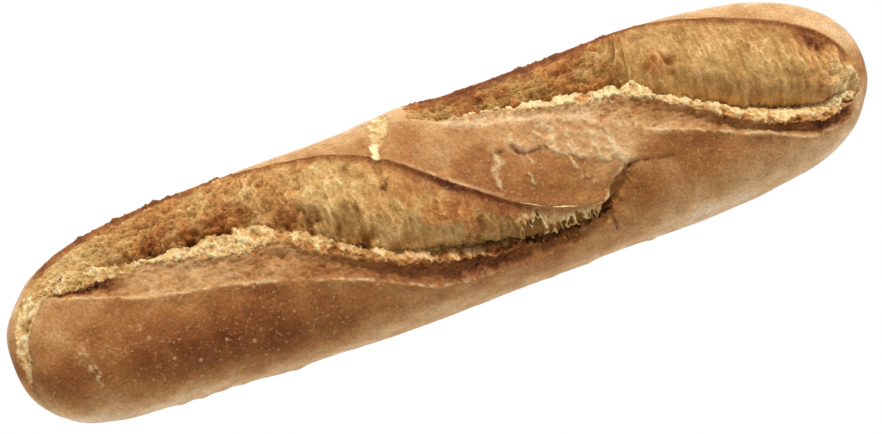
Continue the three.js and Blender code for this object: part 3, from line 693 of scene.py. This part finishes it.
# Where the window and the back dome begin and end along the loaf, each over a short way.
WINDOW_START, WINDOW_END = (14, 20), (45, 48)
BACK_DOME_START, BACK_DOME_END = (72, 78), (122, 128)
# On the back dome: where up it its shade ends, where its rim lies, and its shiny patch, [x, angle] and size.
SHADE_LINE = 0.34
RIM_X = 121.2
SHINE = {"place": (120, -9), "reach": (6.5, 3.5, 3.5)}


def crumb_surface(here, height, at, number):
    """Torn crumb: threads, clods and grains, pulled out across the tear where it is stretched."""
    x, across, lumps, grit = here.x, here.across, here.lumps, here.grit
    stretch, up = at["stretch"], at["up_bulge"]
    in_front, behind = number == 0, number == 1
    down = across / stretch
    crags = web(x / 8, down / 6.5, number + 9.5 + 0.2 * lumps, 4)
    fine = web(x / 1.1 + 0.3 * grit, across / (0.8 + 0.3 * stretch), number + 2.5, 2)
    # The torn lip isn't stretched, so its cells, threads and clods are rounder.
    edge = at["edge"]
    cells = blend(
        edge, web(x / 4.8 + 0.5 * lumps, down / 4.2, number + 21.5 + 0.3 * grit, 2),
        web(x / 4.4, across / 3.6, number + 19.5 + 0.3 * grit, 2))
    threads = blend(
        edge, web(x / 2.4 + 0.5 * lumps, down / 2.4, number + 0.5 + 0.4 * lumps, 2),
        web(x / 2.2, across / 2.2, number + 15.5 + 0.4 * lumps, 2))
    clods = blend(
        edge, fractal(x / 3.2, down / 3.2, number + 4.5, 3), fractal(x / 2.7, across / 2.5, number + 34.5, 3))
    grains = fractal(x / 0.8, across / 0.8, number + 6.5, 2)
    skin = at["bulge"] * smooth_step(up + 0.12 * lumps, 0.86 - at["skin_share"], 1.1 - at["skin_share"])
    near_back = bell(np.maximum(at["past_back"] - 0.8 - lumps, 0), 2)
    skin = np.maximum(skin, 0.8 * near_back * at["bulge"])
    rough = blend(edge, at["rough"], EDGE_ROUGHNESS) * (1 - 0.75 * skin)
    craggy = at["craggy"] * at["bulge"] * (1 - 0.9 * skin)
    net = 0.28 * cells + 0.26 * threads
    height = height + rough * (net + 0.08 * fine + 0.1 * grains + 0.6 * clods + 0.8 * lumps)
    height = height + craggy * (1.1 * crags + 1.1 * here.blotches)

    # Threads of pale crumb with pits between them, in the window under the overhanging crust, with painted
    # shade in the pits and over the whole window.
    window = in_front * smooth_step(x + lumps, *WINDOW_START) * (1 - smooth_step(x, *WINDOW_END))
    window = window * at["bulge"]
    strands = fractal(x / 2.1 + 0.3 * clods, across / 8, 5.5, 2)
    shaded_gaps = window * smooth_step(np.abs(strands), 0.08, 0.24) * (1 - smooth_step(up + 0.6 * clods, 0.4, 0.72))
    height -= 1.8 * shaded_gaps

    # Ribs comb the back dome above a line where its shade ends.
    dome = behind * at["bulge"] * smooth_step(x, *BACK_DOME_START) * (1 - smooth_step(x, *BACK_DOME_END))
    shade_line = SHADE_LINE + 0.06 * fractal(x / 4, 0.5, 3.3, 3)
    above = smooth_step(up, shade_line - 0.03, shade_line + 0.06)
    ribbed = dome * above * (1 - 0.6 * smooth_step(up, 0.6, 0.8))
    ribs = bell(fractal(x / 2.2, across / 9, 5.0, 2), 0.12)
    combed = fractal(x / 1.5, across / 12, 8.0, 2)
    height += ribbed * 0.45 * ribs + dome * 0.15 * combed
    height -= 0.5 * dome * bell(up - shade_line + 0.03, 0.05)
    # The dome ends in a crumbly rim that turns round the right tip.
    rim = at["bulge"] * bell(x + 1.2 * lumps - RIM_X, 0.9) * smooth_step(here.angle, -6, 4)
    height -= behind * 1.3 * rim

    tone = blend(up ** 0.8, at["low_tone"], at["high_tone"])
    low_edge = 1 - smooth_step(at["up_edge"] + 0.5 * clods, 0.15, 0.65)
    low_edge = low_edge * np.clip(2.2 * at["edge_toast"], 0, 1)
    tone = blend(edge, tone, at["edge_tone"] - 0.26 * low_edge + 0.14 * lumps)
    toast = at["toast"] * smooth_step(here.blotches + 0.4 * clods + 0.35 * up, -0.12, 0.32)
    if in_front:
        toast = toast * blend(smooth_step(x, -44, -36), 1, smooth_step(up, 0.1, 0.42))
    # The crumb's tone follows its relief: lighter on raised threads, clods, grains and crags, partly its own
    # paler tips and partly painted highlight, and darker in the cells between with painted shade.
    flecks_and_highlights = smooth_step(fine + 1.2 * grains + 0.8 * clods, 0.7, 1.2)
    texture_and_shade = 0.06 * cells + 0.08 * threads + 0.05 * fine + 0.07 * grains + 0.1 * clods + 0.1 * flecks_and_highlights
    tone = tone + 0.08 * lumps + (0.35 + 0.65 * rough) * texture_and_shade + craggy * 0.12 * (crags - 0.2)
    # Painted shade darkens the window's pits, the whole window a little, and the hollows; the window's pale
    # strands are the crumb's own colour.
    tone = tone - 0.24 * shaded_gaps + window * (0.36 * bell(strands, 0.09) - 0.06) - 0.22 * here.hollow
    # Below the back dome's shade line the crumb is darkened with painted shade; its ribs are paler.
    tone = tone + 0.2 * ribbed * ribs + 0.1 * dome * combed - 0.06 * dome * (1 - above)
    # Hollows are redder with painted shade.
    toast = toast + craggy * 0.3 * (crags - 0.3) + 0.26 * here.hollow
    toast = blend(edge, toast, at["edge_toast"] * (0.4 + clods + lumps) + low_edge)
    for near, (more_toast, more_tone) in nearness(here.smooth, CRUMB_PATCHES):
        near = near * (1 + 0.5 * clods)
        toast = toast + more_toast * near
        tone = tone + more_tone * near
    toast = np.clip(toast, 0, 1)[..., None]
    colour = blend(toast, colour_along(CRUMB_COLOURS, tone), colour_along(TOAST_COLOURS, tone))
    bake = at["skin_bake"] + 0.14 * lumps + 0.08 * clods - 0.05 * threads + 0.08 * near_back
    colour = blend(0.85 * skin[..., None], colour, colour_along(CRUST_COLOURS, bake))
    band = in_front * bell(np.maximum(at["past_back"] - 1.4 + lumps, 0), 1) * bell(x - 1, 12)
    line = np.maximum(0.6 * at["edge_line"] * (1 - in_front * smooth_step(x, 4, 12)), band)
    line_bake = 0.7 + in_front * 0.16 * bell(x, 8) + 0.1 * clods
    colour = blend(line[..., None], colour, colour_along(CRUST_COLOURS, line_bake))
    # Cracks are darkened, and the bottom of each crevice slot gets painted shade.
    dark = np.maximum(0.5 * at["slot"], here.crack)
    colour = blend(dark[..., None], colour, np.array(CRACK_AND_SLOT_SHADE_COLOUR, float))
    from_shine = (here.smooth - smooth_loaf(*SHINE["place"])[0]) / np.array(SHINE["reach"])
    shine = at["bulge"] * behind * np.linalg.norm(from_shine, axis=-1)
    fields = {
        "colour": colour,
        "crumb": (1 - 0.7 * skin) * np.clip(0.2 + rough, 0, 1),
        "gloss": 0.8 * at["bulge"] * behind * (1 - smooth_step(shine, 0.7, 1.1)),
        "specks": 0 * skin,
        "blisters": 0 * skin,
        "shreds": at["shreds"] * smooth_step(clods, -0.3, 0.2),
    }
    return height, fields


# Layout of the meshes.

def station_positions(count, middle_closeness=0.0):
    """Values of x spaced along the loaf's outline from above, closer near its dome, without the two tips."""
    turn = np.linspace(-np.pi / 2, np.pi / 2, 8001)
    x = LENGTH / 2 * power(np.sin(turn), 2 / TIP_POWER)
    y = WIDTH / 2 * taper(x)
    closeness = 1 + middle_closeness * bell((x[1:] + x[:-1]) / 2 - DOME["x"], 34)
    reached = np.r_[0, np.cumsum(np.hypot(np.diff(x), np.diff(y)) * closeness)]
    return np.interp(np.linspace(0, reached[-1], count + 2)[1:-1], reached, x)


def column_angles(x, count):
    """Angles of the columns at each x, closest together at torn edges and sparse underneath."""
    angle = np.linspace(-180, 180, 1441)[None, :]
    density = np.where(np.abs(angle) < 100, 1.0, 0.4) + 0 * x
    for burst in BURSTS:
        ridge, torn, back = burst["ridge"](x), burst["torn"](x), burst["back"](x)
        open_share = burst["torn_share"](x)
        on_ledge = smooth_step(angle, torn - 4, torn) * (1 - smooth_step(angle, ridge, ridge + 6))
        density += open_share * (1.5 * on_ledge + 3 * bell(angle - torn, 3) + 2.5 * bell(angle - back, 3))
    density += 3 * bell(x - 30, 34) * bell(angle - 12, 26)
    reached = np.cumsum(density, axis=1)
    reached = (reached - reached[:, :1]) / (reached[:, -1:] - reached[:, :1])
    wanted = np.arange(count) / count
    return np.array([np.interp(wanted, row, angle[0]) for row in reached])


def closed_faces(rows, columns):
    """Quads between the rings, and triangles from the first and last of them to the two ends."""
    index = np.arange(rows * columns).reshape(rows, columns)
    ahead = np.roll(index, -1, axis=1)
    quads = np.stack([index[:-1], index[1:], ahead[1:], ahead[:-1]], -1).reshape(-1, 4)
    first, last = rows * columns, rows * columns + 1
    start = [(first, a, b) for a, b in zip(index[0], ahead[0])]
    end = [(last, b, a) for a, b in zip(index[-1], ahead[-1])]
    return quads.tolist() + start + end


def with_ends(rings, ends=None):
    """The rings in one list, then the two ends: the means of the first and last ring where none are given."""
    if ends is None:
        ends = [rings[0].mean(axis=0), rings[-1].mean(axis=0)]
    return np.concatenate([rings.reshape(-1, *rings.shape[2:]), ends])


def make_crust():
    x = station_positions(CRUST_STATIONS, 1.0)[:, None]
    angle = column_angles(x, CRUST_COLUMNS)
    point, _, fields = surface(x, angle)
    tips = np.array([[-LENGTH / 2, 0, WIDEST_LEVEL], [LENGTH / 2, 0, WIDEST_LEVEL]])
    fields = {name: with_ends(values) for name, values in fields.items()}
    return with_ends(point, tips), closed_faces(*angle.shape), fields


def make_crumb(number):
    """The crumb that one burst lays bare: a closed slab whose rim runs on under the crust."""
    burst, (start, end) = BURSTS[number], CRUMB_REACH[number]
    x = station_positions(CRUMB_STATIONS)
    x = x[(x > start) & (x < end)][:, None]
    _, _, share = smooth_loaf(x, 0)
    skin_width = np.radians(1) * WIDTH / 2 * np.maximum(share, LEAST_SHARE)
    seed = LINE_SEEDS[number]
    torn = ragged_line(burst, "torn", x, skin_width, seed + 3.1) + TUCK / skin_width
    back = ragged_line(burst, "back", x, skin_width, seed + 9.3) - TUCK / skin_width
    step = np.linspace(0, 1, CRUMB_COLUMNS)[None, :]
    angle = back + (torn - back) * step
    point, outward, fields = surface(x, angle, number)
    rim = np.minimum(angle - back, torn - angle) * skin_width
    ends = smooth_step(x, start, start + 2.5) * (1 - smooth_step(x, end - 2.5, end))
    covered = smooth_step(rim, 0, TUCK) * ends
    top = point - outward * ((1 - covered) * SINK)[..., None]
    under = point - outward * (SINK + CRUMB_THICKNESS)
    few = slice(-1, None, -CRUMB_COLUMNS // 5)
    rings = np.concatenate([top, under[:, few]], axis=1)
    fields = {
        name: with_ends(np.concatenate([values, values[:, few]], axis=1)) for name, values in fields.items()}
    return with_ends(rings), closed_faces(*rings.shape[:2]), fields


def settled(crust_vertices):
    """The shift that centres the loaf on the solid's box, on the surface that it lies on."""
    low, high = (np.array(corner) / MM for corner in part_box("baguette"))
    shift = (low + high) / 2 - (crust_vertices.min(0) + crust_vertices.max(0)) / 2
    return np.array([shift[0], shift[1], low[2]])


def new_object(name, data):
    obj = bpy.data.objects.new(name, data)
    bpy.context.scene.collection.objects.link(obj)
    return obj


def mesh_object(name, vertices, faces, fields):
    mesh = bpy.data.meshes.new(name)
    mesh.from_pydata((vertices * MM).tolist(), [], faces)
    for field, values in fields.items():
        if values.ndim == 2:
            attribute = mesh.attributes.new(field, "FLOAT_COLOR", "POINT")
            values = np.c_[linear(values), np.ones(len(values))]
            attribute.data.foreach_set("color", values.astype(np.float32).ravel())
        else:
            attribute = mesh.attributes.new(field, "FLOAT", "POINT")
            attribute.data.foreach_set("value", values.astype(np.float32))
    mesh.shade_smooth()
    return new_object(name, mesh)


class Nodes:
    """Adds nodes to a tree and joins them."""

    def __init__(self, tree):
        self.tree = tree

    def add(self, kind, inputs=None, **settings):
        node = self.tree.nodes.new(kind)
        for name, value in settings.items():
            setattr(node, name, value)
        for name, value in (inputs or {}).items():
            if isinstance(value, bpy.types.NodeSocket):
                self.tree.links.new(value, node.inputs[name])
            else:
                node.inputs[name].default_value = value
        return node


def bread_material():
    material = bpy.data.materials.new("baked bread")
    material.use_nodes = True
    tree = material.node_tree
    tree.nodes.clear()
    nodes = Nodes(tree)
    place = nodes.add("ShaderNodeTexCoord").outputs["Object"]

    def field(name, output="Fac"):
        return nodes.add("ShaderNodeAttribute", attribute_name=name).outputs[output]

    def calc(operation, a, b):
        return nodes.add("ShaderNodeMath", {0: a, 1: b}, operation=operation).outputs[0]

    def mix(factor, a, b):
        node = nodes.add("ShaderNodeMix", {"Factor": factor}, data_type="RGBA")
        for socket, value in ((node.inputs[6], a), (node.inputs[7], b)):
            if isinstance(value, bpy.types.NodeSocket):
                tree.links.new(value, socket)
            else:
                socket.default_value = value
        return node.outputs[2]

    def times(a, b):
        return calc("MULTIPLY", a, b)

    def noise_at(scale, detail):
        noise = nodes.add("ShaderNodeTexNoise", {"Vector": place, "Scale": scale, "Detail": detail})
        return noise.outputs["Fac"]

    def ramp(value, start, end, low, high):
        return nodes.add("ShaderNodeMapRange", {
            "Value": value, "From Min": start, "From Max": end, "To Min": low, "To Max": high,
        }).outputs["Result"]

    fine = noise_at(1100.0, 3.0)
    coarse = noise_at(240.0, 5.0)
    grain = nodes.add("ShaderNodeTexVoronoi", {"Vector": place, "Scale": 1700.0}).outputs["Distance"]
    crumb = field("crumb")
    on_crust = calc("SUBTRACT", 1.0, crumb)

    # Small pale blisters of many sizes, where the crust has them.
    dot = nodes.add("ShaderNodeTexVoronoi", {"Vector": place, "Scale": 300.0})
    dot_kind = nodes.add("ShaderNodeSeparateColor", {"Color": dot.outputs["Color"]}).outputs
    dot_there = calc("GREATER_THAN", dot_kind[0], 0.2)
    dot_reach = calc("ADD", 0.06, times(dot_kind[1], 0.2))
    dot_shape = ramp(calc("DIVIDE", dot.outputs["Distance"], dot_reach), 0.5, 1.1, 1.0, 0.0)
    dots = times(times(dot_shape, dot_there), field("blisters"))

    # Mottling, painted shade in the creases between the crumb's grains with lighter tops, and flecks paler
    # and darker than the crust round them.
    fineness = calc("SUBTRACT", 1.0, times(crumb, 0.5))
    fine_mottle = times(calc("SUBTRACT", fine, 0.5), fineness)
    coarse_mottle = times(calc("SUBTRACT", coarse, 0.5), 0.6)
    # On the crumb, grain tops are lighter and the creases between them carry painted shade.
    grain_shade = times(crumb, times(calc("SUBTRACT", grain, 0.35), 0.2))
    mottle = calc("SUBTRACT", calc("ADD", fine_mottle, coarse_mottle), grain_shade)
    colour = nodes.add("ShaderNodeHueSaturation", {
        "Value": calc("ADD", 1.0, mottle), "Color": field("colour", "Color"),
    }).outputs["Color"]
    speckled = calc("ADD", noise_at(1000.0, 2.0), times(field("specks"), 0.09))
    pale_flecks = ramp(speckled, 0.6, 0.7, 0.0, 0.36)
    dark_flecks = ramp(noise_at(1400.0, 2.0), 0.44, 0.3, 0.0, 0.3)
    colour = mix(times(pale_flecks, on_crust), colour, (*linear(PALE_FLECK_COLOUR), 1))
    colour = mix(times(dark_flecks, on_crust), colour, (*linear(DARK_FLECK_COLOUR), 1))
    colour = mix(times(dots, 0.7), colour, (*linear(BLISTER_COLOUR), 1))

    grain_relief = times(crumb, times(calc("SUBTRACT", 1.0, grain), 0.5))
    fine_relief = times(fine, times(fineness, 0.8))
    relief = calc("ADD", calc("ADD", fine_relief, coarse), calc("ADD", grain_relief, times(dots, 0.6)))
    bump = nodes.add("ShaderNodeBump", {"Height": relief, "Strength": 0.7, "Distance": 0.0006})
    roughness = calc("SUBTRACT", ROUGHNESS, times(field("gloss"), GLOSS_CHANGE))
    shader = nodes.add("ShaderNodeBsdfPrincipled", {
        "Base Color": colour, "Roughness": roughness, "Specular IOR Level": SPECULAR,
        "Normal": bump.outputs["Normal"],
    })
    output = nodes.add("ShaderNodeOutputMaterial")
    tree.links.new(shader.outputs[0], output.inputs["Surface"])
    return material


# Each tuft's size, as shares of the size given to the tree, and how far it is pushed out of round.
TUFT_SIZES = (0.4, 1.2)
TUFT_RUMPLE = 1.6
TUFTS = {"Tufts per m2": 1.0e6, "Size": 0.00045}


def tuft_tree(material):
    """Scatters small lumpy tufts over a surface, thickest where its shreds are, and keeps only them."""
    tree = bpy.data.node_groups.new("torn tufts", "GeometryNodeTree")
    tree.interface.new_socket("Crumb", in_out="INPUT", socket_type="NodeSocketGeometry")
    for name in TUFTS:
        tree.interface.new_socket(name, in_out="INPUT", socket_type="NodeSocketFloat")
    tree.interface.new_socket("Tufts", in_out="OUTPUT", socket_type="NodeSocketGeometry")
    nodes = Nodes(tree)
    given = nodes.add("NodeGroupInput").outputs
    shreds = nodes.add("GeometryNodeInputNamedAttribute", {"Name": "shreds"}, data_type="FLOAT")
    density = nodes.add("ShaderNodeMath", {
        0: given["Tufts per m2"], 1: shreds.outputs["Attribute"],
    }, operation="MULTIPLY").outputs[0]
    points = nodes.add("GeometryNodeDistributePointsOnFaces", {
        "Mesh": given["Crumb"], "Density": density, "Seed": 7,
    }, distribute_method="RANDOM").outputs["Points"]
    ball = nodes.add("GeometryNodeMeshIcoSphere", {"Radius": 1.0, "Subdivisions": 2}).outputs["Mesh"]
    rumple = nodes.add("ShaderNodeTexNoise", {"Scale": 1.3, "Detail": 1.0}).outputs["Color"]
    centred = nodes.add("ShaderNodeVectorMath", {0: rumple, 1: (0.5, 0.5, 0.5)}, operation="SUBTRACT")
    pushed = nodes.add("ShaderNodeVectorMath", {
        0: centred.outputs[0], "Scale": TUFT_RUMPLE,
    }, operation="SCALE").outputs[0]
    tuft = nodes.add("GeometryNodeSetPosition", {"Geometry": ball, "Offset": pushed}).outputs["Geometry"]
    spread = nodes.add("FunctionNodeRandomValue", {"Seed": 3}, data_type="FLOAT")
    spread.inputs[2].default_value, spread.inputs[3].default_value = TUFT_SIZES
    size = nodes.add("ShaderNodeMath", {
        0: spread.outputs[1], 1: given["Size"],
    }, operation="MULTIPLY").outputs[0]
    turn = nodes.add("FunctionNodeRandomValue", {"Seed": 5}, data_type="FLOAT_VECTOR")
    turn.inputs[1].default_value = (2 * np.pi,) * 3
    placed = nodes.add("GeometryNodeInstanceOnPoints", {
        "Points": points, "Instance": tuft, "Rotation": turn.outputs[0], "Scale": size,
    }).outputs["Instances"]
    whole = nodes.add("GeometryNodeRealizeInstances", {"Geometry": placed}).outputs["Geometry"]
    done = nodes.add("GeometryNodeSetMaterial", {"Geometry": whole, "Material": material}).outputs["Geometry"]
    nodes.add("NodeGroupOutput", {"Tufts": done})
    return tree


def scattered(name, surface_object, tree, sizes):
    """What a node tree scatters over an object, as a plain mesh of its own."""
    obj = new_object(name, surface_object.data)
    modifier = obj.modifiers.new(name, "NODES")
    modifier.node_group = tree
    for item in tree.interface.items_tree:
        if item.item_type == "SOCKET" and item.name in sizes:
            modifier[item.identifier] = sizes[item.name]
    graph = bpy.context.evaluated_depsgraph_get()
    mesh = bpy.data.meshes.new_from_object(obj.evaluated_get(graph))
    obj.modifiers.remove(modifier)
    obj.data = mesh
    mesh.shade_smooth()
    return obj


bread = bread_material()
crust_vertices, crust_faces, crust_fields = make_crust()
shift = settled(crust_vertices)
pieces = [mesh_object("crust", crust_vertices + shift, crust_faces, crust_fields)]
for number, name in enumerate(("front_crumb", "back_crumb")):
    vertices, faces, fields = make_crumb(number)
    pieces.append(mesh_object(name, vertices + shift, faces, fields))
for piece in pieces:
    piece.data.materials.append(bread)
tufts = tuft_tree(bread)
for piece, name in zip(pieces[1:], ("front_tufts", "back_tufts")):
    pieces.append(scattered(name, piece, tufts, TUFTS))
for piece in pieces:
    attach(piece, "root")
    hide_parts("baguette")

# Camera: a close view from nearly straight above, as in the photograph.
CAMERA_AZIMUTH = -20.68
CAMERA_ELEVATION = 74
CAMERA_DISTANCE = 1.1
CAMERA_LENS = 150
CAMERA_SENSOR = 36
CAMERA_AIM = Vector((-0.0015, -0.00421, 0.02287))
azimuth, elevation = np.radians(CAMERA_AZIMUTH), np.radians(CAMERA_ELEVATION)
back = Vector((np.sin(azimuth) * np.cos(elevation), -np.cos(azimuth) * np.cos(elevation), np.sin(elevation)))
right = Vector((np.cos(azimuth), np.sin(azimuth), 0))
up = back.cross(right)
camera_data = bpy.data.cameras.new("camera")
camera_data.lens = CAMERA_LENS
camera_data.sensor_width = CAMERA_SENSOR
camera = new_object("camera", camera_data)
camera.matrix_world = Matrix.Translation(CAMERA_AIM + back * CAMERA_DISTANCE) @ Matrix(
    (right, up, back)).transposed().to_4x4()
bpy.context.scene.camera = camera

# Floor and light.
FLOOR_HALF = 3.0
SKY_STRENGTH = 0.62
SUN_STRENGTH = 2.4
SUN_SOFTNESS = 12
SUN_TOWARDS = (-0.35, -0.9, -1.1)
corners = [(FLOOR_HALF * x, FLOOR_HALF * y, 0) for x, y in ((-1, -1), (1, -1), (1, 1), (-1, 1))]
floor_mesh = bpy.data.meshes.new("floor")
floor_mesh.from_pydata(corners, [], [(0, 1, 2, 3)])
floor = new_object("floor", floor_mesh)
floor_material = bpy.data.materials.new("pale floor")
floor_material.use_nodes = True
floor_material.node_tree.nodes.clear()
floor_nodes = Nodes(floor_material.node_tree)
glow = floor_nodes.add("ShaderNodeEmission", {"Color": (1, 1, 1, 1), "Strength": 1.0})
floor_nodes.add("ShaderNodeOutputMaterial", {"Surface": glow.outputs[0]})
floor_mesh.materials.append(floor_material)

world = bpy.data.worlds.new("soft light")
world.use_nodes = True
sky = world.node_tree.nodes["Background"].inputs
sky["Color"].default_value = (1, 1, 1, 1)
sky["Strength"].default_value = SKY_STRENGTH
bpy.context.scene.world = world


def sun(name, energy, softness, towards):
    """A soft light from far off, shining along towards."""
    data = bpy.data.lights.new(name, "SUN")
    data.energy = energy
    data.angle = np.radians(softness)
    lamp = new_object(name, data)
    lamp.rotation_mode = "QUATERNION"
    lamp.rotation_quaternion = Vector(towards).to_track_quat("-Z", "Y")


sun("key", SUN_STRENGTH, SUN_SOFTNESS, SUN_TOWARDS)
bpy.context.scene.view_settings.view_transform = "Standard"
bpy.context.scene.view_settings.look = "None"
